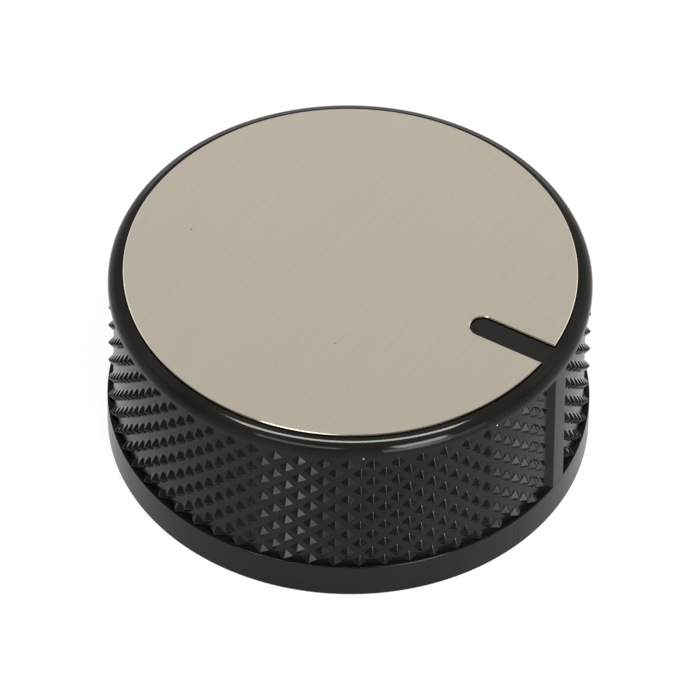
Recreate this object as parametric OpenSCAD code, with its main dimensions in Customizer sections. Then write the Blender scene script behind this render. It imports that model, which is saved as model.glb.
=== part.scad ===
// Push-on control knob: a black moulding with a diamond-knurled grip, a slotted metal disc let into its face
// and a spring ring round its split hub. Sizes are in millimetres. The shaft axis is Z, the base ring lies on
// z = 0 and the pointer runs along +X.

/* [Body] */
// Diameter over the rim
body_d = 45; // [38:0.5:56]
// Widening from the rim down to the base band, on the radius
body_flare = 0.12; // [0:0.01:0.3]
// Height from the base ring to the face of the disc
knob_h = 20; // [16:0.5:26]
// Height of the plain band at the base
band_h = 3.7; // [2.4:0.1:6]
// Rounding of the band's lower edge
foot_round = 0.2; // [0.1:0.05:0.6]
// Wall of the skirt behind the floor of the knurl
skirt_wall = 1.9; // [1.4:0.1:3]
// Thickness of the plate that carries the disc
plate_t = 1.7; // [1.2:0.1:2.6]

/* [Rim] */
// Height of the rim above the knurl
rim_h = 1.61; // [1:0.01:2.4]
// Width of the rim outside the recess for the disc
rim_w = 1.32; // [0.8:0.01:2.4]
// Rounding of the rim's outer edge
rim_round = 1.29; // [0.5:0.01:1.4]

/* [Grip] */
// Pyramids in each row of the knurl
knurl_n = 60; // [40:1:72]
// Height between rows of pyramids that stand one above the other
knurl_pitch = 2.33; // [1.8:0.01:3.2]
// Depth of the knurl's floor below the strip
knurl_depth = 0.57; // [0.3:0.01:0.9]
// Height from the underside of the rim down to the first tips
knurl_lead = 1.35; // [0.9:0.01:2]
// Share of each diamond cell that its pyramid fills
knurl_fill = 0.67; // [0.5:0.01:0.9]
// Depth of the knurl tips below the strip
tip_inset = 0.02; // [0.01:0.01:0.1]
// Width of the plain strip down the grip, below the pointer
strip_w = 1.87; // [1:0.01:3]
// Slope of the strip's sides, measured from its face
strip_slope = 45; // [30:1:80]

/* [Disc] */
// Thickness of the disc
disc_t = 0.8; // [0.5:0.05:1.2]
// Height of the disc's face above the rim
disc_proud = 0.24; // [0.1:0.01:0.45]
// Gap between the disc's edge and the rim
disc_gap = 0.1; // [0.05:0.01:0.4]
// Rounding of the disc's upper edge
disc_round = 0.1; // [0.05:0.01:0.3]
// Bevel along the upper edges of the disc's slot
slot_bevel = 0.15; // [0.05:0.01:0.3]
// Width of the pointer rib in the slot
pointer_w = 2.33; // [1.4:0.01:4]
// Distance from the axis to the pointer's inner end
pointer_in = 13; // [8:0.1:16]
// Gap between the pointer rib and the slot, on each side
pointer_gap = 0.06; // [0.03:0.01:0.15]

/* [Hub] */
// Diameter of the D shaft that the hub takes
shaft_d = 6; // [5:0.05:6.5]
// Height of the shaft across its flat
shaft_across = 4.5; // [4:0.05:4.8]
// Clearance between the shaft and its D socket, on the radius
shaft_gap = 0.05; // [0.02:0.01:0.1]
// Clearance between the shaft and the round lead-in, on the radius
lead_gap = 0.3; // [0.1:0.01:0.45]
// Depth of the round lead-in
lead_h = 4; // [3:0.1:5]
// Depth of the D socket above the lead-in
socket_h = 10; // [7:0.1:12]
// Height of the hub's mouth above the base ring
hub_mouth = 1.5; // [0.5:0.1:2.5]
// Diameter of the hub above the ring's shoulder
hub_d = 11; // [10.2:0.1:13]
// Height of the hub below the ring's shoulder
collar_h = 6.5; // [5.5:0.1:8]
// Width of the ring's shoulder, on the radius
shoulder_w = 0.5; // [0.3:0.05:0.6]
// Width of the slits through the hub
slit_w = 1; // [0.6:0.1:1.4]
// Height of the slits
slit_h = 7.5; // [5:0.1:9]
// Thickness of the ribs between hub and skirt
rib_t = 1.2; // [0.8:0.1:1.6]
// Height of the ribs below the plate
rib_h = 5.5; // [3:0.1:7]

/* [Spring ring] */
// Thickness of the ring's strip
ring_t = 0.6; // [0.4:0.05:0.8]
// Height of the ring
ring_h = 5; // [3:0.1:5.4]
// Opening between the ring's ends
ring_open = 2.4; // [1.2:0.1:4]
// Clearance between the ring and the hub, on the radius
ring_gap = 0.02; // [0.01:0.01:0.05]

/* [Hidden] */
$fn = 96;
// Overshoot of cuts
over = 1;

// Body
body_r = body_d / 2;
band_r = body_r + body_flare;
rim_z = knob_h - disc_proud;
seat_z = knob_h - disc_t;
plate_z = seat_z - plate_t;
grip_z = rim_z - rim_h;
floor_r = body_r - knurl_depth;
core_r = floor_r - skirt_wall / 4;
cavity_r = floor_r - skirt_wall;
recess_r = body_r - rim_w;
rim_edge = min(rim_round, rim_w - 0.02, rim_h - 0.1);

// Knurl
columns = 2 * knurl_n;
col_step = 360 / columns;
half_z = knurl_pitch / 2;
rows = max(1, round((grip_z - band_h - knurl_lead) / knurl_pitch));
first_z = grip_z - knurl_lead;
tip_r = body_r - tip_inset;
skin_top = max(grip_z, first_z + knurl_fill * half_z) + 0.4;
skin_foot = first_z - (2 * rows - 1 + knurl_fill) * half_z - 0.4;
skin_r = floor_r - skirt_wall / 2;
strip_foot = strip_w / 2 + knurl_depth / tan(strip_slope);
bare_angle = asin(strip_foot / floor_r) + col_step / 2;

// Disc
disc_r = recess_r - disc_gap;
slot_w = pointer_w + 2 * pointer_gap;

// Hub
hub_r = hub_d / 2;
collar_r = hub_r - shoulder_w;
shoulder_z = hub_mouth + collar_h;
lead_r = shaft_d / 2 + lead_gap;
lead_z = hub_mouth + lead_h;
socket_r = shaft_d / 2 + shaft_gap;
socket_z = min(lead_z + socket_h, plate_z);
flat_x = shaft_across - shaft_d / 2 + shaft_gap;

// Knurl skin: five points for each pyramid (tip, upper, right, lower and left corner), then four plain rings
function column(i) = (i + columns) % columns;
function pyramid_id(i, k, m) = 5 * (column(i) * rows + k) + m;
function ring_id(i, n) = 5 * columns * rows + n * columns + column(i);
function flare_at(z) = body_flare * (grip_z - z) / (grip_z - band_h);
function on_ring(r, i, z) = [r * cos(i * col_step), r * sin(i * col_step), z];
function on_skin(r, i, j) = let (z = first_z - j * half_z) on_ring(r + flare_at(z), i, z);
function is_bare(i) = min(i, columns - i) * col_step < bare_angle;
function pyramid(i, k) = let (j = 2 * k + i % 2) [
    on_skin(is_bare(i) ? floor_r : tip_r, i, j),
    on_skin(floor_r, i, j - knurl_fill),
    on_skin(floor_r, i + knurl_fill, j),
    on_skin(floor_r, i, j + knurl_fill),
    on_skin(floor_r, i - knurl_fill, j)
];
function ring_points(r, z) = [for (i = [0 : columns - 1]) on_ring(r, i, z)];

// Corners of the pyramids on the right of pyramid i, k: upper, lower and the next one in the same row
function upper_k(i, k) = i % 2 == 0 ? k - 1 : k;
function lower_k(i, k) = i % 2 == 0 ? k : k + 1;

// Faces of one pyramid and of the grooves on its right
function pyramid_faces(i, k) = let (
    tip = pyramid_id(i, k, 0),
    up = pyramid_id(i, k, 1),
    right = pyramid_id(i, k, 2),
    low = pyramid_id(i, k, 3),
    left = pyramid_id(i, k, 4),
    ku = upper_k(i, k),
    kl = lower_k(i, k),
    next_up = pyramid_id(i + 2, k, 1),
    next_low = pyramid_id(i + 2, k, 3),
    next_left = pyramid_id(i + 2, k, 4),
    sides = [[tip, up, right], [tip, right, low], [tip, low, left], [tip, left, up]],
    upper = ku < 0
        ? [[ring_id(i, 0), ring_id(i + 1, 0), right, up],
           [ring_id(i + 1, 0), next_left, right],
           [ring_id(i + 1, 0), ring_id(i + 2, 0), next_up, next_left]]
        : [[up, pyramid_id(i + 1, ku, 4), pyramid_id(i + 1, ku, 3), right]],
    lower = kl >= rows
        ? [[low, right, ring_id(i + 1, 1), ring_id(i, 1)],
           [right, next_left, ring_id(i + 1, 1)],
           [next_left, next_low, ring_id(i + 2, 1), ring_id(i + 1, 1)]]
        : [[right, pyramid_id(i + 1, kl, 1), pyramid_id(i + 1, kl, 4), low]],
    crossing = ku < 0
        ? [[right, next_left, pyramid_id(i + 1, kl, 1)]]
        : kl >= rows
            ? [[right, pyramid_id(i + 1, ku, 3), next_left]]
            : [[right, pyramid_id(i + 1, ku, 3), next_left, pyramid_id(i + 1, kl, 1)]]
) concat(sides, upper, lower, crossing);

// Top, bottom and back of the skin
function back_faces(i) = [
    [ring_id(i, 0), ring_id(i, 2), ring_id(i + 1, 2), ring_id(i + 1, 0)],
    [ring_id(i, 1), ring_id(i + 1, 1), ring_id(i + 1, 3), ring_id(i, 3)],
    [ring_id(i, 2), ring_id(i, 3), ring_id(i + 1, 3), ring_id(i + 1, 2)]
];
function as_triangles(f) = len(f) == 3 ? [f] : [[f[0], f[1], f[2]], [f[0], f[2], f[3]]];

module knurl_skin() {
    points = concat(
        [for (i = [0 : columns - 1]) for (k = [0 : rows - 1]) each pyramid(i, k)],
        ring_points(floor_r + flare_at(skin_top), skin_top),
        ring_points(floor_r + flare_at(skin_foot), skin_foot),
        ring_points(skin_r, skin_top),
        ring_points(skin_r, skin_foot)
    );
    faces = concat(
        [for (i = [0 : columns - 1]) for (k = [0 : rows - 1]) each pyramid_faces(i, k)],
        [for (i = [0 : columns - 1]) each back_faces(i)]
    );
    polyhedron(points, [for (f = faces) each as_triangles(f)]);
}

// Outside of the moulding with its rounded rim and foot, before the grip and the hollow are cut
module outer_form() {
    rotate_extrude() difference() {
        polygon([[0, 0], [band_r, 0], [band_r, band_h], [body_r, grip_z], [body_r, rim_z], [0, rim_z]]);
        translate([body_r - rim_edge, rim_z - rim_edge]) difference() {
            square(rim_edge + over);
            circle(rim_edge);
        }
        translate([band_r - foot_round, foot_round]) difference() {
            translate([0, -foot_round - over]) square(foot_round + over);
            circle(foot_round);
        }
    }
}

// Space that the knurl skin fills, open to the outside and closed at the pointer strip
module grip_groove() {
    difference() {
        rotate_extrude() translate([core_r, band_h]) square([knurl_depth + skirt_wall + over, grip_z - band_h]);
        pointer_strip();
    }
}

// Bar behind the plain strip, with sloping sides from the strip's edges down to the floor of the knurl
module pointer_strip() {
    half_w = strip_w / 2;
    spread = skirt_wall / tan(strip_slope);
    linear_extrude(knob_h) polygon([
        [body_r - skirt_wall, -half_w - spread],
        [body_r, -half_w],
        [band_r + skirt_wall + over, -half_w],
        [band_r + skirt_wall + over, half_w],
        [body_r, half_w],
        [body_r - skirt_wall, half_w + spread]
    ]);
}

// Round-ended bar from the pointer's inner end to beyond the rim
module pointer_bar(width, inner, z, h) {
    translate([inner + width / 2, 0, z]) {
        cylinder(d = width, h = h);
        translate([0, -width / 2, 0]) cube([body_r, width, h]);
    }
}

// Recess for the disc, with the pointer rib left standing in it
module disc_recess() {
    difference() {
        translate([0, 0, seat_z]) cylinder(r = recess_r, h = disc_t + over);
        pointer_bar(pointer_w, pointer_in, seat_z - over, disc_t + 3 * over);
    }
}

// Split hub with its shoulder for the spring ring, lead-in and D socket
module hub() {
    difference() {
        union() {
            translate([0, 0, hub_mouth]) cylinder(r = collar_r, h = plate_z - hub_mouth + plate_t / 2);
            translate([0, 0, shoulder_z]) cylinder(r = hub_r, h = plate_z - shoulder_z + plate_t / 2);
        }
        translate([0, 0, hub_mouth - over]) cylinder(r = lead_r, h = lead_h + over);
        difference() {
            translate([0, 0, hub_mouth]) cylinder(r = socket_r, h = socket_z - hub_mouth);
            translate([flat_x, -hub_r, lead_z]) cube([hub_r, hub_d, knob_h]);
        }
        translate([-slit_w / 2, -hub_r - over, hub_mouth - over])
            cube([slit_w, hub_d + 2 * over, slit_h + over]);
    }
}

// Stiffening ribs under the plate, from inside the hub's wall to inside the skirt
module ribs() {
    inner_x = (socket_r + collar_r) / 2;
    for (a = [45 : 90 : 315]) rotate(a)
        translate([inner_x, -rib_t / 2, plate_z - rib_h])
            cube([cavity_r + skirt_wall / 4 - inner_x, rib_t, rib_h + plate_t / 2]);
}

// The whole moulding
module knob_body() {
    color([0.03, 0.03, 0.03]) union() {
        difference() {
            outer_form();
            grip_groove();
            disc_recess();
            translate([0, 0, -over]) cylinder(r = cavity_r, h = plate_z + over);
        }
        ribs();
        hub();
        knurl_skin();
    }
}

// Slotted disc in the recess, with its upper edge rounded
module top_disc() {
    color([0.72, 0.69, 0.64]) difference() {
        translate([0, 0, seat_z]) rotate_extrude() difference() {
            square([disc_r, disc_t]);
            translate([disc_r - disc_round, disc_t - disc_round]) difference() {
                square(disc_round + over);
                circle(disc_round);
            }
        }
        pointer_bar(slot_w, pointer_in - pointer_gap, seat_z - over, disc_t + 2 * over);
        slot_bevels();
    }
}

// Bevel round the slot's upper edge: a cone at its end and a wedge along its sides
module slot_bevels() {
    end_x = pointer_in + pointer_w / 2;
    translate([end_x, 0, knob_h - slot_bevel])
        cylinder(r1 = slot_w / 2, r2 = slot_w / 2 + 2 * slot_bevel, h = 2 * slot_bevel);
    translate([end_x, 0, knob_h - slot_bevel]) rotate([90, 0, 90]) linear_extrude(body_r) polygon([
        [-slot_w / 2, 0],
        [slot_w / 2, 0],
        [slot_w / 2 + 2 * slot_bevel, 2 * slot_bevel],
        [-slot_w / 2 - 2 * slot_bevel, 2 * slot_bevel]
    ]);
}

// Split ring below the hub's shoulder, open on the side away from the pointer
module hub_spring_ring() {
    inner_r = collar_r + ring_gap;
    color([0.6, 0.6, 0.58]) translate([0, 0, shoulder_z - ring_h]) difference() {
        cylinder(r = inner_r + ring_t, h = ring_h);
        translate([0, 0, -over]) cylinder(r = inner_r, h = ring_h + 2 * over);
        translate([-hub_d, -ring_open / 2, -over]) cube([hub_d, ring_open, ring_h + 2 * over]);
    }
}

knob_body();
top_disc();
hub_spring_ring();
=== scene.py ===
"""Dresses the push-on control knob: body, face disc and spring ring, with studio and camera."""

import logging
import math
from dataclasses import dataclass, field
from enum import Enum
from typing import Optional, Sequence

import bmesh
import bpy
from mathutils import Matrix, Vector


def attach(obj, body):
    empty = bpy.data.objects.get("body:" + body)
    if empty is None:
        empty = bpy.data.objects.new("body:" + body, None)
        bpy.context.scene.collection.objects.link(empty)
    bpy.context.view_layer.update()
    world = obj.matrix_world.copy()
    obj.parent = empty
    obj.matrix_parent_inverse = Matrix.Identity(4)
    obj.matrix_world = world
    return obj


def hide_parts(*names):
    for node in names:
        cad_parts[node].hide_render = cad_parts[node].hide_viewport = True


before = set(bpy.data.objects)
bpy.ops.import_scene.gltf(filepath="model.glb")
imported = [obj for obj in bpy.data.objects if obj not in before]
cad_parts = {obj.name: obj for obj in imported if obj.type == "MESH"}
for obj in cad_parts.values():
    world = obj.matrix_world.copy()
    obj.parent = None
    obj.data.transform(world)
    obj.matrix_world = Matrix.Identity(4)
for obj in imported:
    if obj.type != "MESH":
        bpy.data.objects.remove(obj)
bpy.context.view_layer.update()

LOG = logging.getLogger("control_knob")
MILLIMETRE = 0.001

SHARP_FROM = 33.0
MIX_SHARE = 0
MIX_FIRST = 6
MIX_SECOND = 7
MIX_RESULT = 2

Point2 = tuple[float, float]
Point3 = tuple[float, float, float]
Colour = tuple[float, float, float]


class Node(Enum):
    """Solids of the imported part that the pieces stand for."""

    BODY = "knob_body"
    DISC = "top_disc"
    RING = "hub_spring_ring"


class Slot(Enum):
    """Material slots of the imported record."""

    PLASTIC = "black_plastic"
    DISC = "brushed_disc"
    STEEL = "spring_steel"


class Join(Enum):
    """Ways in which one closed mesh changes another."""

    ADD = "UNION"
    CUT = "DIFFERENCE"


@dataclass(frozen=True)
class Corner:
    """One corner of a turned outline, in millimetres."""

    r: float
    z: float
    round: float = 0.0
    steps: int = 4

    def at(self) -> Vector:
        """The corner's sharp point."""
        return Vector((self.r, self.z))


def rounded_outline(corners: Sequence[Corner]) -> list[Point2]:
    """Turns a list of corners into points, with an arc at each rounded corner.

    Args:
        corners: corners in order along an open outline.

    Returns:
        Points (radius, height) in millimetres.
    """
    points: list[Point2] = []
    for n, corner in enumerate(corners):
        if corner.round <= 0.0 or n in (0, len(corners) - 1):
            points.append((corner.r, corner.z))
            continue
        here = corner.at()
        back = (corners[n - 1].at() - here).normalized()
        ahead = (corners[n + 1].at() - here).normalized()
        half = back.angle(ahead) / 2.0
        reach = corner.round / math.tan(half)
        centre = here + (back + ahead).normalized() * (corner.round / math.sin(half))
        start = here + back * reach - centre
        turn = start.angle_signed(here + ahead * reach - centre)
        for step in range(corner.steps + 1):
            arm = start.copy()
            arm.rotate(Matrix.Rotation(-turn * step / corner.steps, 2))
            points.append((centre.x + arm.x, centre.y + arm.y))
    return points


class MeshShop:
    """Makes closed meshes in millimetres and joins them."""

    @staticmethod
    def holder(name: str, mesh: bmesh.types.BMesh) -> bpy.types.Object:
        """Puts a mesh in a linked object.

        Args:
            name: name of the object.
            mesh: closed mesh, freed here.

        Returns:
            The object.
        """
        bmesh.ops.recalc_face_normals(mesh, faces=mesh.faces)
        data = bpy.data.meshes.new(name)
        mesh.to_mesh(data)
        mesh.free()
        made = bpy.data.objects.new(name, data)
        bpy.context.scene.collection.objects.link(made)
        return made

    @classmethod
    def turned(cls, name: str, outline: Sequence[Point2], segments: int) -> bpy.types.Object:
        """Turns an outline about the Z axis into a closed mesh.

        Args:
            name: name of the object.
            outline: points (radius, height); both ends lie on the axis, or the outline closes on itself.
            segments: faces round the axis.

        Returns:
            The object.
        """
        mesh = bmesh.new()
        closed = outline[0][0] > 0.0
        rows: list[list[bmesh.types.BMVert]] = []
        for radius, height in outline:
            if radius <= 0.0:
                rows.append([mesh.verts.new((0.0, 0.0, height))])
                continue
            ring = []
            for n in range(segments):
                angle = 2.0 * math.pi * n / segments
                ring.append(mesh.verts.new((radius * math.cos(angle), radius * math.sin(angle), height)))
            rows.append(ring)
        pairs = list(zip(rows, rows[1:]))
        if closed:
            pairs.append((rows[-1], rows[0]))
        for first, second in pairs:
            for n in range(segments):
                loop = [first[n % len(first)], first[(n + 1) % len(first)]]
                loop += [second[(n + 1) % len(second)], second[n % len(second)]]
                mesh.faces.new(list(dict.fromkeys(loop)))
        return cls.holder(name, mesh)

    @classmethod
    def prism(
        cls,
        name: str,
        outline: Sequence[Point2],
        low: float,
        high: float,
        top_round: float = 0.0,
        steps: int = 3,
        upper_outline: Optional[Sequence[Point2]] = None,
    ) -> bpy.types.Object:
        """Raises a closed flat outline into a prism.

        Args:
            name: name of the object.
            outline: points (x, y) round the prism.
            low: height of the lower face.
            high: height of the upper face.
            top_round: rounding along the upper edges.
            steps: faces across the rounding.
            upper_outline: points of the upper face, where they differ.

        Returns:
            The object.
        """
        mesh = bmesh.new()
        lower = [mesh.verts.new((x, y, low)) for x, y in outline]
        upper = [mesh.verts.new((x, y, high)) for x, y in upper_outline or outline]
        mesh.faces.new(lower)
        lid = mesh.faces.new(upper)
        count = len(outline)
        for n in range(count):
            after = (n + 1) % count
            mesh.faces.new((lower[n], lower[after], upper[after], upper[n]))
        if top_round > 0.0:
            bmesh.ops.recalc_face_normals(mesh, faces=mesh.faces)
            bmesh.ops.bevel(
                mesh,
                geom=list(lid.edges),
                offset=top_round,
                offset_type="OFFSET",
                segments=steps,
                profile=0.5,
                affect="EDGES",
                clamp_overlap=True,
            )
        return cls.holder(name, mesh)

    @classmethod
    def block(cls, name: str, low: Point3, high: Point3, turn: float = 0.0) -> bpy.types.Object:
        """Makes a block between two corners, turned about the Z axis.

        Args:
            name: name of the object.
            low: lowest corner.
            high: highest corner.
            turn: angle in degrees.

        Returns:
            The object.
        """
        outline = [(low[0], low[1]), (high[0], low[1]), (high[0], high[1]), (low[0], high[1])]
        made = cls.prism(name, outline, low[2], high[2])
        made.data.transform(Matrix.Rotation(math.radians(turn), 4, "Z"))
        return made

    @staticmethod
    def join(base: bpy.types.Object, others: Sequence[bpy.types.Object], way: Join) -> bpy.types.Object:
        """Adds closed meshes to a base mesh, or cuts them from it, and removes them.

        Args:
            base: object whose mesh changes.
            others: objects that are used up.
            way: add or cut.

        Returns:
            The base object.
        """
        for other in others:
            step = base.modifiers.new(other.name, "BOOLEAN")
            step.operation = way.value
            step.solver = "MANIFOLD"
            step.object = other
        bpy.context.view_layer.update()
        graph = bpy.context.evaluated_depsgraph_get()
        data = bpy.data.meshes.new_from_object(base.evaluated_get(graph))
        base.modifiers.clear()
        old = base.data
        base.data = data
        bpy.data.meshes.remove(old)
        for other in others:
            spent = other.data
            bpy.data.objects.remove(other)
            bpy.data.meshes.remove(spent)
        return base

    @staticmethod
    def finish(made: bpy.types.Object) -> bpy.types.Object:
        """Brings a mesh to metres and sets its shading.

        Args:
            made: object with a mesh in millimetres.

        Returns:
            The object.
        """
        made.data.transform(Matrix.Scale(MILLIMETRE, 4))
        made.data.name = made.name
        made.data.shade_smooth()
        made.data.set_sharp_from_angle(angle=math.radians(SHARP_FROM))
        even = made.modifiers.new("even_normals", "WEIGHTED_NORMAL")
        even.mode = "FACE_AREA"
        even.keep_sharp = True
        return made


class Nodes:
    """Short hand for a node tree."""

    def __init__(self, tree: bpy.types.NodeTree) -> None:
        """Empties the tree and keeps it."""
        self.tree = tree
        tree.nodes.clear()

    def add(self, kind: str, **values: object) -> bpy.types.Node:
        """Adds a node and sets its properties.

        Args:
            kind: Blender's name of the node.
            **values: properties by name.

        Returns:
            The node.
        """
        node = self.tree.nodes.new(kind)
        for name, value in values.items():
            setattr(node, name, value)
        return node

    def link(self, start: bpy.types.NodeSocket, end: bpy.types.NodeSocket) -> None:
        """Links two sockets."""
        self.tree.links.new(start, end)

    def math(self, operation: str, *terms: object, clamp: bool = False) -> bpy.types.NodeSocket:
        """Adds a Math node.

        Args:
            operation: Blender's name of the operation.
            *terms: sockets or numbers.
            clamp: whether the result stays between 0 and 1.

        Returns:
            Its result.
        """
        node = self.add("ShaderNodeMath", operation=operation, use_clamp=clamp)
        for n, term in enumerate(terms):
            if isinstance(term, (int, float)):
                node.inputs[n].default_value = term
            else:
                self.link(term, node.inputs[n])
        return node.outputs[0]

    def ramp(
        self,
        value: bpy.types.NodeSocket,
        low: float,
        high: float,
        to: Point2 = (0.0, 1.0),
    ) -> bpy.types.NodeSocket:
        """Maps a range smoothly onto another.

        Args:
            value: input.
            low: start of the input's range.
            high: end of the input's range.
            to: start and end of the result's range.

        Returns:
            The mapped value.
        """
        node = self.add("ShaderNodeMapRange", interpolation_type="SMOOTHSTEP")
        self.link(value, node.inputs["Value"])
        node.inputs["From Min"].default_value = low
        node.inputs["From Max"].default_value = high
        node.inputs["To Min"].default_value = to[0]
        node.inputs["To Max"].default_value = to[1]
        return node.outputs["Result"]

    def noise(
        self,
        vector: bpy.types.NodeSocket,
        scale: float,
        detail: float = 2.0,
        rough: float = 0.5,
    ) -> bpy.types.NodeSocket:
        """Adds a noise texture.

        Args:
            vector: coordinates.
            scale: cells per unit.
            detail: octaves.
            rough: share of the finer octaves.

        Returns:
            Its value.
        """
        node = self.add("ShaderNodeTexNoise")
        self.link(vector, node.inputs["Vector"])
        node.inputs["Scale"].default_value = scale
        node.inputs["Detail"].default_value = detail
        node.inputs["Roughness"].default_value = rough
        return node.outputs["Fac"]

    def stretched(self, scale: Point3) -> bpy.types.NodeSocket:
        """Object coordinates with a scale of their own along each axis.

        Args:
            scale: factor along X, Y and Z.

        Returns:
            The coordinates.
        """
        place = self.add("ShaderNodeTexCoord")
        mapping = self.add("ShaderNodeMapping")
        mapping.inputs["Scale"].default_value = scale
        self.link(place.outputs["Object"], mapping.inputs["Vector"])
        return mapping.outputs["Vector"]

    def spots(self, places: Sequence[Point3], radius: float) -> bpy.types.NodeSocket:
        """Marks small round spots at given places.

        Args:
            places: centres of the spots in metres.
            radius: radius of each spot.

        Returns:
            1 inside a spot and 0 outside.
        """
        here = self.stretched((1.0, 1.0, 1.0))
        inside: Optional[bpy.types.NodeSocket] = None
        for place in places:
            gap = self.add("ShaderNodeVectorMath", operation="DISTANCE")
            self.link(here, gap.inputs[0])
            gap.inputs[1].default_value = place
            spot = self.ramp(gap.outputs["Value"], radius * 0.7, radius * 1.3, (1.0, 0.0))
            inside = spot if inside is None else self.math("MAXIMUM", inside, spot)
        return inside

    def mix_colour(
        self,
        share: bpy.types.NodeSocket,
        first: Colour,
        second: Colour,
    ) -> bpy.types.NodeSocket:
        """Mixes two colours.

        Args:
            share: share of the second colour.
            first: colour at 0.
            second: colour at 1.

        Returns:
            The mixed colour.
        """
        node = self.add("ShaderNodeMix", data_type="RGBA")
        self.link(share, node.inputs[MIX_SHARE])
        node.inputs[MIX_FIRST].default_value = (*first, 1.0)
        node.inputs[MIX_SECOND].default_value = (*second, 1.0)
        return node.outputs[MIX_RESULT]

    def cover(
        self,
        share: bpy.types.NodeSocket,
        under: bpy.types.NodeSocket,
        over: Colour,
    ) -> bpy.types.NodeSocket:
        """Lays a colour over another where the share says so.

        Args:
            share: share of the upper colour.
            under: lower colour.
            over: upper colour.

        Returns:
            The mixed colour.
        """
        node = self.add("ShaderNodeMix", data_type="RGBA")
        self.link(share, node.inputs[MIX_SHARE])
        self.link(under, node.inputs[MIX_FIRST])
        node.inputs[MIX_SECOND].default_value = (*over, 1.0)
        return node.outputs[MIX_RESULT]

    def bump(
        self,
        height: bpy.types.NodeSocket,
        distance: float,
        strength: float,
    ) -> bpy.types.NodeSocket:
        """Adds a bump node.

        Args:
            height: height from 0 to 1.
            distance: depth in metres.
            strength: share of the effect.

        Returns:
            The normal.
        """
        node = self.add("ShaderNodeBump")
        node.inputs["Distance"].default_value = distance
        node.inputs["Strength"].default_value = strength
        self.link(height, node.inputs["Height"])
        return node.outputs["Normal"]


@dataclass(frozen=True)
class MouldedBlack:
    """Black moulded plastic with a clear sheen, a faint grain and a few specks of dust."""

    name: str = "moulded_black"
    dark: Colour = (0.0034, 0.0034, 0.003)
    pale: Colour = (0.005, 0.005, 0.0045)
    sheen_tint: Colour = (1.0, 1.0, 0.92)
    dust: Colour = (0.4, 0.39, 0.37)
    rough_low: float = 0.07
    rough_high: float = 0.12
    sheen: float = 0.13
    rough_wall: float = 0.25
    grain_per_metre: float = 9000.0
    grain_depth: float = 0.000004
    grain_share: float = 0.12
    cloud_per_metre: float = 140.0
    haze_per_metre: float = 420.0
    wall_lean: Point2 = (0.03, 0.12)
    dust_spots: tuple[Point3, ...] = ((0.01242, -0.01876, 0.0183), (0.02073, -0.00875, 0.01822))
    dust_radius: float = 0.00008
    dust_rough: float = 0.5

    def material(self) -> bpy.types.Material:
        """Builds the material."""
        made = bpy.data.materials.new(self.name)
        made.use_nodes = True
        nodes = Nodes(made.node_tree)
        shader = nodes.add("ShaderNodeBsdfPrincipled")
        output = nodes.add("ShaderNodeOutputMaterial")
        nodes.link(shader.outputs[0], output.inputs["Surface"])
        shader.inputs["IOR"].default_value = 1.5
        shader.inputs["Specular IOR Level"].default_value = self.sheen
        shader.inputs["Specular Tint"].default_value = (*self.sheen_tint, 1.0)
        place = nodes.stretched((1.0, 1.0, 1.0))
        cloud = nodes.noise(place, self.cloud_per_metre, 3.0)
        tone = nodes.mix_colour(nodes.ramp(cloud, 0.35, 0.65), self.dark, self.pale)
        speck = nodes.spots(self.dust_spots, self.dust_radius)
        nodes.link(nodes.cover(speck, tone, self.dust), shader.inputs["Base Color"])
        haze = nodes.noise(place, self.haze_per_metre, 4.0)
        sheen = nodes.ramp(haze, 0.3, 0.7, (self.rough_low, self.rough_high))
        shape = nodes.add("ShaderNodeNewGeometry")
        facing = nodes.add("ShaderNodeSeparateXYZ")
        nodes.link(shape.outputs["True Normal"], facing.inputs[0])
        lean = nodes.math("ABSOLUTE", facing.outputs["Z"])
        upright = nodes.ramp(lean, *self.wall_lean, (self.rough_wall, 0.0))
        sheen = nodes.math("MAXIMUM", sheen, upright)
        sheen = nodes.math("ADD", sheen, nodes.math("MULTIPLY", speck, self.dust_rough))
        nodes.link(sheen, shader.inputs["Roughness"])
        grain = nodes.noise(place, self.grain_per_metre, 2.0)
        nodes.link(nodes.bump(grain, self.grain_depth, self.grain_share), shader.inputs["Normal"])
        return made


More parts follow.
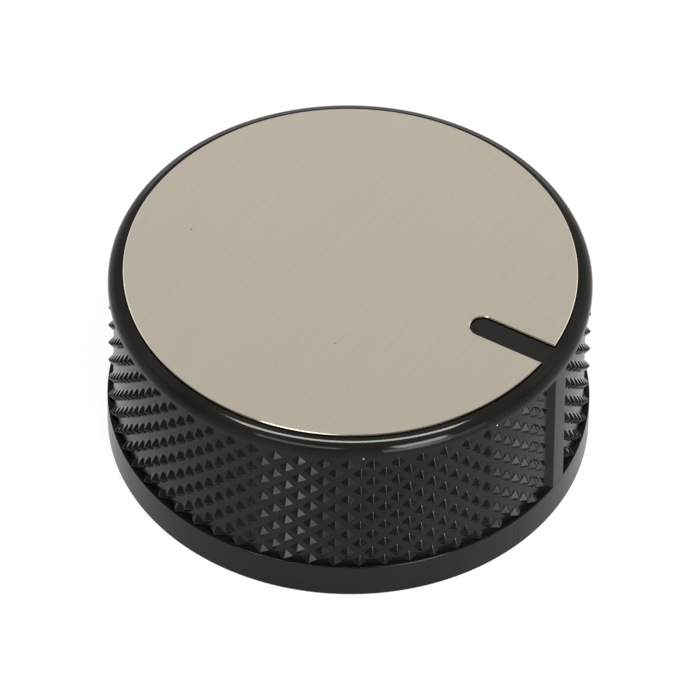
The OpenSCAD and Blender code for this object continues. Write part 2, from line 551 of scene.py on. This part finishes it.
@dataclass(frozen=True)
class BrushedDisc:
    """Warm grey metal, brushed in fine straight lines across the pointer, with a bright cut edge."""

    name: str = "brushed_disc"
    dark: Colour = (0.83, 0.742, 0.612)
    pale: Colour = (0.856, 0.766, 0.632)
    scratch: Colour = (0.82, 0.733, 0.605)
    mark: Colour = (0.5, 0.44, 0.37)
    mark_spots: tuple[Point3, ...] = ((-0.0153, -0.0032, 0.02), (0.0036, -0.0089, 0.02))
    mark_radius: float = 0.0001
    rough_low: float = 0.29
    rough_high: float = 0.31
    rough_edge: float = 0.1
    line_scale: Point3 = (12000.0, 70.0, 70.0)
    scratch_scale: Point3 = (5200.0, 55.0, 55.0)
    scratch_from: Point2 = (0.7, 0.78)
    top_lean: Point2 = (0.93, 0.995)
    line_depth: float = 0.000002
    line_share: float = 0.12

    def material(self) -> bpy.types.Material:
        """Builds the material."""
        made = bpy.data.materials.new(self.name)
        made.use_nodes = True
        nodes = Nodes(made.node_tree)
        shader = nodes.add("ShaderNodeBsdfPrincipled")
        output = nodes.add("ShaderNodeOutputMaterial")
        nodes.link(shader.outputs[0], output.inputs["Surface"])
        shader.inputs["Metallic"].default_value = 1.0
        lines = nodes.noise(nodes.stretched(self.line_scale), 1.0, 2.0, 0.6)
        tone = nodes.mix_colour(nodes.ramp(lines, 0.3, 0.7), self.dark, self.pale)
        needles = nodes.noise(nodes.stretched(self.scratch_scale), 1.0, 0.0)
        tone = nodes.cover(nodes.ramp(needles, *self.scratch_from), tone, self.scratch)
        tone = nodes.cover(nodes.spots(self.mark_spots, self.mark_radius), tone, self.mark)
        nodes.link(tone, shader.inputs["Base Color"])
        shape = nodes.add("ShaderNodeNewGeometry")
        facing = nodes.add("ShaderNodeSeparateXYZ")
        nodes.link(shape.outputs["Normal"], facing.inputs[0])
        on_top = nodes.ramp(facing.outputs["Z"], *self.top_lean)
        rise = (self.rough_low - self.rough_edge, self.rough_high - self.rough_edge)
        satin = nodes.math("MULTIPLY", nodes.ramp(lines, 0.3, 0.7, rise), on_top)
        nodes.link(nodes.math("ADD", satin, self.rough_edge), shader.inputs["Roughness"])
        nodes.link(nodes.bump(lines, self.line_depth, self.line_share), shader.inputs["Normal"])
        return made


@dataclass(frozen=True)
class SpringSteel:
    """Plain rolled spring strip with a faint grain along the strip."""

    name: str = "spring_strip"
    dark: Colour = (0.36, 0.35, 0.33)
    pale: Colour = (0.52, 0.51, 0.49)
    rough_low: float = 0.25
    rough_high: float = 0.42
    line_scale: Point3 = (260.0, 260.0, 5200.0)
    line_depth: float = 0.000004
    line_share: float = 0.4

    def material(self) -> bpy.types.Material:
        """Builds the material."""
        made = bpy.data.materials.new(self.name)
        made.use_nodes = True
        nodes = Nodes(made.node_tree)
        shader = nodes.add("ShaderNodeBsdfPrincipled")
        output = nodes.add("ShaderNodeOutputMaterial")
        nodes.link(shader.outputs[0], output.inputs["Surface"])
        shader.inputs["Metallic"].default_value = 1.0
        lines = nodes.noise(nodes.stretched(self.line_scale), 1.0, 3.0)
        tone = nodes.mix_colour(nodes.ramp(lines, 0.3, 0.7), self.dark, self.pale)
        satin = nodes.ramp(lines, 0.3, 0.7, (self.rough_low, self.rough_high))
        nodes.link(tone, shader.inputs["Base Color"])
        nodes.link(satin, shader.inputs["Roughness"])
        nodes.link(nodes.bump(lines, self.line_depth, self.line_share), shader.inputs["Normal"])
        return made


def dress(
    piece: bpy.types.Object,
    finish: bpy.types.Material,
    node: Node,
) -> bpy.types.Object:
    """Gives a piece its finish and sets it in place of its solid.

    Args:
        piece: finished piece.
        finish: its material.
        node: solid that it stands for.

    Returns:
        The piece.
    """
    piece.data.materials.clear()
    piece.data.materials.append(finish)
    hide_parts(node.value)
    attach(piece, "root")
    return piece


@dataclass
class Knurl:
    """Diamond knurl of the grip, in millimetres: staggered columns of pyramids on a round floor."""

    per_row: int = 60
    pitch: float = 2.33
    rows: int = 6
    fill: float = 0.67
    tip_r: float = 22.48
    floor_r: float = 21.93
    flare: float = 0.12
    grip_z: float = 18.15
    band_h: float = 3.7
    first_z: float = 16.8
    top_z: float = 18.55
    foot_z: float = 2.7
    back_r: float = 20.9
    bare_columns: int = 1
    ridge: float = 0.068

    def place(self, radius: float, column: float, half_row: float) -> Point3:
        """Point of the skin, which widens towards the base.

        Args:
            radius: distance from the axis below the rim.
            column: place round the axis, in columns.
            half_row: place below the first tips, in half pitches.

        Returns:
            The point.
        """
        angle = math.pi * column / self.per_row
        height = self.first_z - half_row * self.pitch / 2.0
        radius += self.flare * (self.grip_z - height) / (self.grip_z - self.band_h)
        return (radius * math.cos(angle), radius * math.sin(angle), height)

    def is_facet(self, face: bpy.types.MeshPolygon) -> bool:
        """Tells whether a face of the finished body, in metres, is one side of a pyramid.

        Args:
            face: face of the body.

        Returns:
            Whether it is.
        """
        centre = face.center / MILLIMETRE
        arm = Vector((centre.x, centre.y, 0.0))
        on_grip = self.band_h < centre.z < self.grip_z and self.floor_r < arm.length
        lean = face.normal.dot(arm.normalized())
        return on_grip and 0.6 < lean < 0.8 and face.area > 0.05 * MILLIMETRE**2

    def build(self) -> bpy.types.Object:
        """Makes the closed skin with softened ridges.

        Returns:
            The object.
        """
        columns = 2 * self.per_row
        mesh = bmesh.new()
        pyramids: dict[tuple[int, int], list[bmesh.types.BMVert]] = {}
        ridges: list[tuple[bmesh.types.BMVert, bmesh.types.BMVert]] = []
        for i in range(columns):
            bare = min(i, columns - i) <= self.bare_columns
            for k in range(self.rows):
                j = 2 * k + i % 2
                spots = [
                    self.place(self.floor_r if bare else self.tip_r, i, j),
                    self.place(self.floor_r, i, j - self.fill),
                    self.place(self.floor_r, i + self.fill, j),
                    self.place(self.floor_r, i, j + self.fill),
                    self.place(self.floor_r, i - self.fill, j),
                ]
                pyramids[i, k] = [mesh.verts.new(spot) for spot in spots]
                if not bare:
                    ridges += [(pyramids[i, k][0], corner) for corner in pyramids[i, k][1:]]
        heights = [(self.floor_r, self.top_z), (self.floor_r, self.foot_z)]
        heights += [(self.back_r, self.top_z), (self.back_r, self.foot_z)]
        rings = []
        for radius, height in heights:
            down = (self.first_z - height) * 2.0 / self.pitch
            rings.append([mesh.verts.new(self.place(radius, i, down)) for i in range(columns)])
        for i in range(columns):
            after = (i + 1) % columns
            beyond = (i + 2) % columns
            for k in range(self.rows):
                tip, up, right, low, left = pyramids[i, k]
                _, next_up, _, next_low, next_left = pyramids[beyond, k]
                above = pyramids.get((after, k - 1 + i % 2))
                below = pyramids.get((after, k + i % 2))
                faces = [(tip, up, right), (tip, right, low), (tip, low, left), (tip, left, up)]
                cross = [right, next_left]
                if above:
                    faces.append((up, above[4], above[3], right))
                    cross.insert(1, above[3])
                else:
                    edge = rings[0]
                    faces.append((edge[i], edge[after], right, up))
                    faces.append((edge[after], next_left, right))
                    faces.append((edge[after], edge[beyond], next_up, next_left))
                if below:
                    faces.append((right, below[1], below[4], low))
                    cross.append(below[1])
                else:
                    edge = rings[1]
                    faces.append((low, right, edge[after], edge[i]))
                    faces.append((right, next_left, edge[after]))
                    faces.append((next_left, next_low, edge[beyond], edge[after]))
                faces.append(tuple(cross))
                for face in faces:
                    mesh.faces.new(face)
            for upper, lower in ((0, 2), (2, 3), (3, 1)):
                start = [rings[upper][i], rings[lower][i]]
                mesh.faces.new(start + [rings[lower][after], rings[upper][after]])
        bmesh.ops.triangulate(mesh, faces=[face for face in mesh.faces if len(face.verts) > 3])
        bmesh.ops.recalc_face_normals(mesh, faces=mesh.faces)
        edges = []
        for first, second in ridges:
            edges.append(next(edge for edge in first.link_edges if edge.other_vert(first) is second))
        bmesh.ops.bevel(
            mesh,
            geom=edges,
            offset=self.ridge,
            offset_type="OFFSET",
            segments=2,
            profile=0.5,
            affect="EDGES",
            clamp_overlap=True,
        )
        return MeshShop.holder("knurl_skin", mesh)


@dataclass
class KnobBody:
    """The black moulding: rim, knurled grip, pointer strip and rib, base band, and the hub inside."""

    body_r: float = 22.5
    band_r: float = 22.62
    band_h: float = 3.7
    grip_z: float = 18.15
    rim_z: float = 19.76
    seat_z: float = 19.2
    plate_z: float = 17.5
    core_r: float = 21.455
    cavity_r: float = 20.03
    recess_r: float = 21.18
    foot_round: float = 0.2
    rim_round: float = 1.29
    strip_w: float = 1.87
    strip_depth: float = 0.9
    strip_round: float = 0.12
    pointer_w: float = 2.33
    pointer_in: float = 13.0
    pointer_round: float = 0.08
    hub_r: float = 5.5
    collar_r: float = 5.0
    hub_mouth: float = 1.5
    shoulder_z: float = 8.0
    lead_r: float = 3.3
    lead_z: float = 5.5
    socket_r: float = 3.05
    socket_z: float = 15.5
    flat_x: float = 1.55
    slit_w: float = 1.0
    slit_h: float = 7.5
    rib_t: float = 1.2
    rib_h: float = 5.5
    parting_angles: tuple[float, ...] = (-15.2, 164.8)
    segments: int = 360
    knurl: Knurl = field(default_factory=Knurl)

    def shell(self) -> bpy.types.Object:
        """Turned part of the moulding: plate, skirt, band and rim with their softened edges."""
        outline = rounded_outline([
            Corner(0.0, self.plate_z),
            Corner(self.cavity_r, self.plate_z, 0.4),
            Corner(self.cavity_r, 0.0, 0.12),
            Corner(self.band_r, 0.0, self.foot_round, 5),
            Corner(self.band_r, self.band_h, 0.09, 3),
            Corner(self.core_r, self.band_h),
            Corner(self.core_r, self.grip_z),
            Corner(self.body_r, self.grip_z),
            Corner(self.body_r, self.rim_z, self.rim_round, 18),
            Corner(self.recess_r, self.rim_z, 0.02, 2),
            Corner(self.recess_r, self.seat_z),
            Corner(0.0, self.seat_z),
        ])
        return MeshShop.turned("knob_body_skin", outline, self.segments)

    def strip_outline(self, face_r: float) -> list[Point2]:
        """Outline of the strip at one height.

        Args:
            face_r: distance of the strip's face from the axis.

        Returns:
            Points (x, y) from one foot over the face to the other foot.
        """
        half = self.strip_w / 2.0
        edge_x = math.sqrt(face_r**2 - half**2)
        foot_x = edge_x - self.strip_depth
        foot_y = half + self.strip_depth
        corners = [Corner(foot_x, -foot_y), Corner(edge_x, -half, self.strip_round, 4)]
        corners += [Corner(math.sqrt(face_r**2 - y**2), y) for y in (-0.45, 0.0, 0.45)]
        corners += [Corner(edge_x, half, self.strip_round, 4), Corner(foot_x, foot_y)]
        return rounded_outline(corners)

    def strip(self) -> bpy.types.Object:
        """Plain strip down the grip with sloping sides, flush with the rim and the band."""
        sunk = 0.006
        lower = self.strip_outline(self.band_r - sunk)
        upper = self.strip_outline(self.body_r - sunk)
        low = self.band_h - 0.02
        high = self.grip_z + 0.3
        return MeshShop.prism("pointer_strip", lower, low, high, upper_outline=upper)

    def pointer(self) -> bpy.types.Object:
        """Pointer rib on the seat, with its top at the height of the rim."""
        radius = self.pointer_w / 2.0
        centre = self.pointer_in + radius
        outline: list[Point2] = [(self.recess_r + 0.12, -radius), (self.recess_r + 0.12, radius)]
        for step in range(25):
            turn = math.pi * (0.5 + step / 24)
            outline.append((centre + radius * math.cos(turn), radius * math.sin(turn)))
        low = self.seat_z - 0.3
        high = self.rim_z - 0.002
        return MeshShop.prism("pointer_rib", outline, low, high, self.pointer_round)

    def hub(self) -> bpy.types.Object:
        """Split hub with a shoulder for the spring ring, a round lead-in and a D socket."""
        top = self.plate_z + 0.6
        hub = MeshShop.turned("hub", rounded_outline([
            Corner(0.0, self.hub_mouth),
            Corner(self.collar_r, self.hub_mouth, 0.25),
            Corner(self.collar_r, self.shoulder_z),
            Corner(self.hub_r, self.shoulder_z, 0.08),
            Corner(self.hub_r, top),
            Corner(0.0, top),
        ]), 96)
        lead = MeshShop.turned("lead_in", rounded_outline([
            Corner(0.0, self.hub_mouth - 1.0),
            Corner(self.lead_r + 0.35, self.hub_mouth - 1.0),
            Corner(self.lead_r + 0.35, self.hub_mouth),
            Corner(self.lead_r, self.hub_mouth + 0.35),
            Corner(self.lead_r, self.lead_z),
            Corner(0.0, self.lead_z),
        ]), 96)
        limit = math.acos(self.flat_x / self.socket_r)
        turns = [limit + (2.0 * math.pi - 2.0 * limit) * step / 72 for step in range(73)]
        outline = [(self.socket_r * math.cos(turn), self.socket_r * math.sin(turn)) for turn in turns]
        socket = MeshShop.prism("d_socket", outline, self.lead_z - 0.5, self.socket_z)
        reach = self.hub_r + 1.0
        slit = MeshShop.block(
            "slit",
            (-self.slit_w / 2.0, -reach, self.hub_mouth - 1.0),
            (self.slit_w / 2.0, reach, self.hub_mouth + self.slit_h),
        )
        return MeshShop.join(hub, [lead, socket, slit], Join.CUT)

    def ribs(self) -> list[bpy.types.Object]:
        """Four stiffening ribs between hub and skirt."""
        low = (4.2, -self.rib_t / 2.0, self.plate_z - self.rib_h)
        high = (self.cavity_r + 0.5, self.rib_t / 2.0, self.plate_z + 0.5)
        return [MeshShop.block(f"rib_{turn}", low, high, turn) for turn in (45, 135, 225, 315)]

    def parting_lines(self) -> list[bpy.types.Object]:
        """Fine raised lines on the band where the mould's halves met."""
        low = (self.band_r - 0.5, -0.035, 0.35)
        high = (self.band_r + 0.014, 0.035, self.band_h - 0.12)
        turns = enumerate(self.parting_angles)
        return [MeshShop.block(f"parting_line_{n}", low, high, turn) for n, turn in turns]

    def build(self, finish: bpy.types.Material) -> bpy.types.Object:
        """Joins the moulding into one piece and dresses it.

        Args:
            finish: its material.

        Returns:
            The piece.
        """
        piece = self.shell()
        added = [self.hub(), *self.ribs(), self.knurl.build(), self.strip(), self.pointer()]
        added += self.parting_lines()
        MeshShop.join(piece, added, Join.ADD)
        MeshShop.finish(piece)
        for face in piece.data.polygons:
            face.use_smooth = not self.knurl.is_facet(face)
        return dress(piece, finish, Node.BODY)


@dataclass
class FaceDisc:
    """The brushed disc with its round-ended slot, open at the edge."""

    disc_r: float = 21.08
    low: float = 19.2
    high: float = 20.0
    slot_w: float = 2.45
    slot_in: float = 12.94
    edge_bevel: float = 0.07
    arc_steps: int = 540

    def outline(self) -> list[Point2]:
        """Edge of the disc and of its slot."""
        half = self.slot_w / 2.0
        limit = math.asin(half / self.disc_r)
        points: list[Point2] = []
        for step in range(self.arc_steps + 1):
            turn = limit + (2.0 * math.pi - 2.0 * limit) * step / self.arc_steps
            points.append((self.disc_r * math.cos(turn), self.disc_r * math.sin(turn)))
        centre = self.slot_in + half
        for step in range(33):
            turn = math.pi * (1.5 - step / 32)
            points.append((centre + half * math.cos(turn), half * math.sin(turn)))
        return points

    def build(self, finish: bpy.types.Material) -> bpy.types.Object:
        """Makes the disc and dresses it.

        Args:
            finish: its material.

        Returns:
            The piece.
        """
        piece = MeshShop.prism("top_disc_face", self.outline(), self.low, self.high, self.edge_bevel, 1)
        MeshShop.finish(piece)
        return dress(piece, finish, Node.DISC)


@dataclass
class SpringRing:
    """Split ring of spring strip round the hub."""

    inner_r: float = 5.02
    thick: float = 0.6
    low: float = 3.0
    high: float = 8.0
    opening: float = 2.4

    def build(self, finish: bpy.types.Material) -> bpy.types.Object:
        """Makes the ring and dresses it.

        Args:
            finish: its material.

        Returns:
            The piece.
        """
        outer_r = self.inner_r + self.thick
        corners = [
            Corner(self.inner_r, (self.low + self.high) / 2.0),
            Corner(self.inner_r, self.low, 0.1, 3),
            Corner(outer_r, self.low, 0.15, 3),
            Corner(outer_r, self.high, 0.15, 3),
            Corner(self.inner_r, self.high, 0.1, 3),
            Corner(self.inner_r, (self.low + self.high) / 2.0),
        ]
        piece = MeshShop.turned("hub_spring_strip", rounded_outline(corners)[:-1], 144)
        half = self.opening / 2.0
        start = (-outer_r - 1.0, -half, self.low - 1.0)
        gap = MeshShop.block("ring_gap", start, (0.0, half, self.high + 1.0))
        MeshShop.join(piece, [gap], Join.CUT)
        MeshShop.finish(piece)
        return dress(piece, finish, Node.RING)


@dataclass
class Viewpoint:
    """Camera of the photograph, in metres and degrees."""

    azimuth: float = 29.7
    elevation: float = 46.29
    roll: float = 0.953
    distance: float = 0.9313
    aim: Point3 = (0.0, 0.0, 0.010125)
    lens: float = 513.05
    shift: Point2 = (0.00104, -0.01026)

    def front(self) -> Vector:
        """Level direction from the knob towards the camera."""
        turn = math.radians(self.azimuth)
        return Vector((math.sin(turn), -math.cos(turn), 0.0))

    def right(self) -> Vector:
        """Level direction to the camera's right."""
        turn = math.radians(self.azimuth)
        return Vector((math.cos(turn), math.sin(turn), 0.0))

    def towards(self, side: float, height: float) -> Vector:
        """Direction from the knob.

        Args:
            side: angle from the camera's direction, to the right, in degrees.
            height: angle above the floor, in degrees.

        Returns:
            Unit vector.
        """
        turn = math.radians(side)
        rise = math.radians(height)
        level = self.front() * math.cos(turn) + self.right() * math.sin(turn)
        return level * math.cos(rise) + Vector((0.0, 0.0, math.sin(rise)))

    def build(self) -> bpy.types.Object:
        """Makes the camera.

        Returns:
            The camera.
        """
        data = bpy.data.cameras.new("photo_camera")
        data.sensor_width = 36.0
        data.lens = self.lens
        data.shift_x, data.shift_y = self.shift
        data.clip_start = 0.01
        data.clip_end = 50.0
        back = self.towards(0.0, self.elevation)
        side = self.right()
        up = back.cross(side)
        lean = math.radians(self.roll)
        leaned_side = side * math.cos(lean) + up * math.sin(lean)
        leaned_up = up * math.cos(lean) - side * math.sin(lean)
        camera = bpy.data.objects.new("photo_camera", data)
        turned = Matrix((leaned_side, leaned_up, back)).transposed().to_4x4()
        turned.translation = Vector(self.aim) + back * self.distance
        camera.matrix_world = turned
        bpy.context.scene.collection.objects.link(camera)
        bpy.context.scene.camera = camera
        return camera


@dataclass(frozen=True)
class Softbox:
    """One lamp of the studio: where it stands, its size in metres and its brightness."""

    name: str
    side: float
    height: float
    away: float
    width: float
    depth: float
    radiance: float
    spares_disc: bool = False

    def build(self, view: Viewpoint, disc: bpy.types.Object) -> bpy.types.Object:
        """Makes the lamp, turned to the knob.

        Args:
            view: viewpoint that the lamp is placed by.
            disc: face disc, which a lamp that spares it does not light.

        Returns:
            The lamp.
        """
        data = bpy.data.lights.new(self.name, "AREA")
        data.shape = "RECTANGLE"
        data.size = self.width
        data.size_y = self.depth
        data.energy = 4.0 * self.radiance * self.width * self.depth
        lamp = bpy.data.objects.new(self.name, data)
        way = view.towards(self.side, self.height)
        lamp.location = way * self.away
        lamp.rotation_euler = way.to_track_quat("Z", "Y").to_euler()
        bpy.context.scene.collection.objects.link(lamp)
        if self.spares_disc:
            spared = bpy.data.collections.new(f"{self.name}_spares")
            spared.objects.link(disc)
            spared.collection_objects[0].light_linking.link_state = "EXCLUDE"
            lamp.light_linking.receiver_collection = spared
        return lamp


@dataclass
class Studio:
    """White table, soft lamps and pale surroundings; cards near the knob light its facets and rim."""

    floor_size: float = 6.0
    floor_colour: Colour = (0.12, 0.12, 0.12)
    floor_glow: float = 0.88
    floor_drop: float = 0.00003
    room_level: float = 0.22
    wall_level: float = 0.58
    wall_from: Point2 = (0.15, -0.3)
    wall_top: Point2 = (0.6, 0.95)
    ceiling_level: float = 0.3
    ceiling_from: Point2 = (0.88, 0.99)
    low_level: float = 0.6
    low_from: Point2 = (0.45, 0.1)
    lamps: tuple[Softbox, ...] = (
        Softbox("rim_strip", 0.0, 75.9, 0.0722, 0.06, 0.013, 33.0, True),
        Softbox("right_card", 25.7, 14.05, 0.091, 0.04, 0.027, 5.0, True),
        Softbox("right_card_core", 25.7, 14.05, 0.09, 0.016, 0.027, 2.7, True),
        Softbox("right_card_edge", 45.7, 14.4, 0.096, 0.022, 0.031, 1.5, True),
        Softbox("right_softbox", 31.0, 27.0, 1.2, 0.42, 0.42, 18.6, True),
        Softbox("right_fill", 31.0, 27.0, 1.21, 0.42, 0.42, 1.4),
        Softbox("left_softbox", -22.0, 37.0, 1.2, 0.66, 0.295, 3.8, True),
        Softbox("left_fill", -22.0, 37.0, 1.21, 0.66, 0.295, 1.4),
        Softbox("back_softbox", 180.0, 18.0, 1.2, 1.0, 0.4, 1.6),
    )

    def floor(self) -> bpy.types.Object:
        """Plain white table, which keeps the knob's shadow."""
        half = self.floor_size / 2.0
        data = bpy.data.meshes.new("table")
        corners = [(-half, -half, 0.0), (half, -half, 0.0), (half, half, 0.0), (-half, half, 0.0)]
        data.from_pydata(corners, [], [(0, 1, 2, 3)])
        table = bpy.data.objects.new("table", data)
        table.location.z = -self.floor_drop
        bpy.context.scene.collection.objects.link(table)
        finish = bpy.data.materials.new("white_table")
        finish.use_nodes = True
        nodes = Nodes(finish.node_tree)
        matt = nodes.add("ShaderNodeBsdfDiffuse")
        matt.inputs["Color"].default_value = (*self.floor_colour, 1.0)
        glow = nodes.add("ShaderNodeEmission")
        path = nodes.add("ShaderNodeLightPath")
        seen = path.outputs["Is Camera Ray"]
        for ray in ("Is Glossy Ray", "Is Transmission Ray"):
            seen = nodes.math("ADD", seen, path.outputs[ray], clamp=True)
        nodes.link(nodes.math("MULTIPLY", seen, self.floor_glow), glow.inputs["Strength"])
        both = nodes.add("ShaderNodeAddShader")
        nodes.link(matt.outputs[0], both.inputs[0])
        nodes.link(glow.outputs[0], both.inputs[1])
        output = nodes.add("ShaderNodeOutputMaterial")
        nodes.link(both.outputs[0], output.inputs["Surface"])
        data.materials.append(finish)
        return table

    def surroundings(self, view: Viewpoint) -> None:
        """Pale walls behind the knob and a dim room in front of it.

        Args:
            view: viewpoint that the walls are placed by.
        """
        world = bpy.data.worlds.new("studio")
        bpy.context.scene.world = world
        world.use_nodes = True
        nodes = Nodes(world.node_tree)
        place = nodes.add("ShaderNodeTexCoord")
        ahead = nodes.add("ShaderNodeVectorMath", operation="DOT_PRODUCT")
        nodes.link(place.outputs["Generated"], ahead.inputs[0])
        ahead.inputs[1].default_value = view.front()
        rise = nodes.add("ShaderNodeSeparateXYZ")
        nodes.link(place.outputs["Generated"], rise.inputs[0])
        behind = nodes.ramp(ahead.outputs["Value"], *self.wall_from)
        below_ceiling = nodes.ramp(rise.outputs["Z"], *self.wall_top, (1.0, 0.0))
        wall = nodes.math("MULTIPLY", behind, below_ceiling)
        ceiling = nodes.ramp(rise.outputs["Z"], *self.ceiling_from)
        low = nodes.ramp(rise.outputs["Z"], *self.low_from)
        level = nodes.math("ADD", nodes.math("MULTIPLY", wall, self.wall_level), self.room_level)
        level = nodes.math("ADD", nodes.math("MULTIPLY", ceiling, self.ceiling_level), level)
        level = nodes.math("ADD", nodes.math("MULTIPLY", low, self.low_level), level)
        backdrop = nodes.add("ShaderNodeBackground")
        nodes.link(level, backdrop.inputs["Strength"])
        output = nodes.add("ShaderNodeOutputWorld")
        nodes.link(backdrop.outputs[0], output.inputs["Surface"])

    def build(self, view: Viewpoint, disc: bpy.types.Object) -> None:
        """Sets up table, surroundings and lamps.

        Args:
            view: viewpoint that they are placed by.
            disc: face disc, which the brightest lamps spare.
        """
        self.floor()
        self.surroundings(view)
        for lamp in self.lamps:
            lamp.build(view, disc)
        bpy.context.scene.view_settings.view_transform = "Standard"


def main() -> None:
    """Builds the pieces, the studio and the camera in order."""
    logging.basicConfig(level=logging.INFO, format="%(message)s")
    body = KnobBody().build(MouldedBlack().material())
    disc = FaceDisc().build(BrushedDisc().material())
    ring = SpringRing().build(SpringSteel().material())
    for piece in (body, disc, ring):
        LOG.info("%s: %d faces", piece.name, len(piece.data.polygons))
    view = Viewpoint()
    view.build()
    Studio().build(view, disc)
    LOG.info("studio and camera set")


if __name__ == "__main__":
    main()
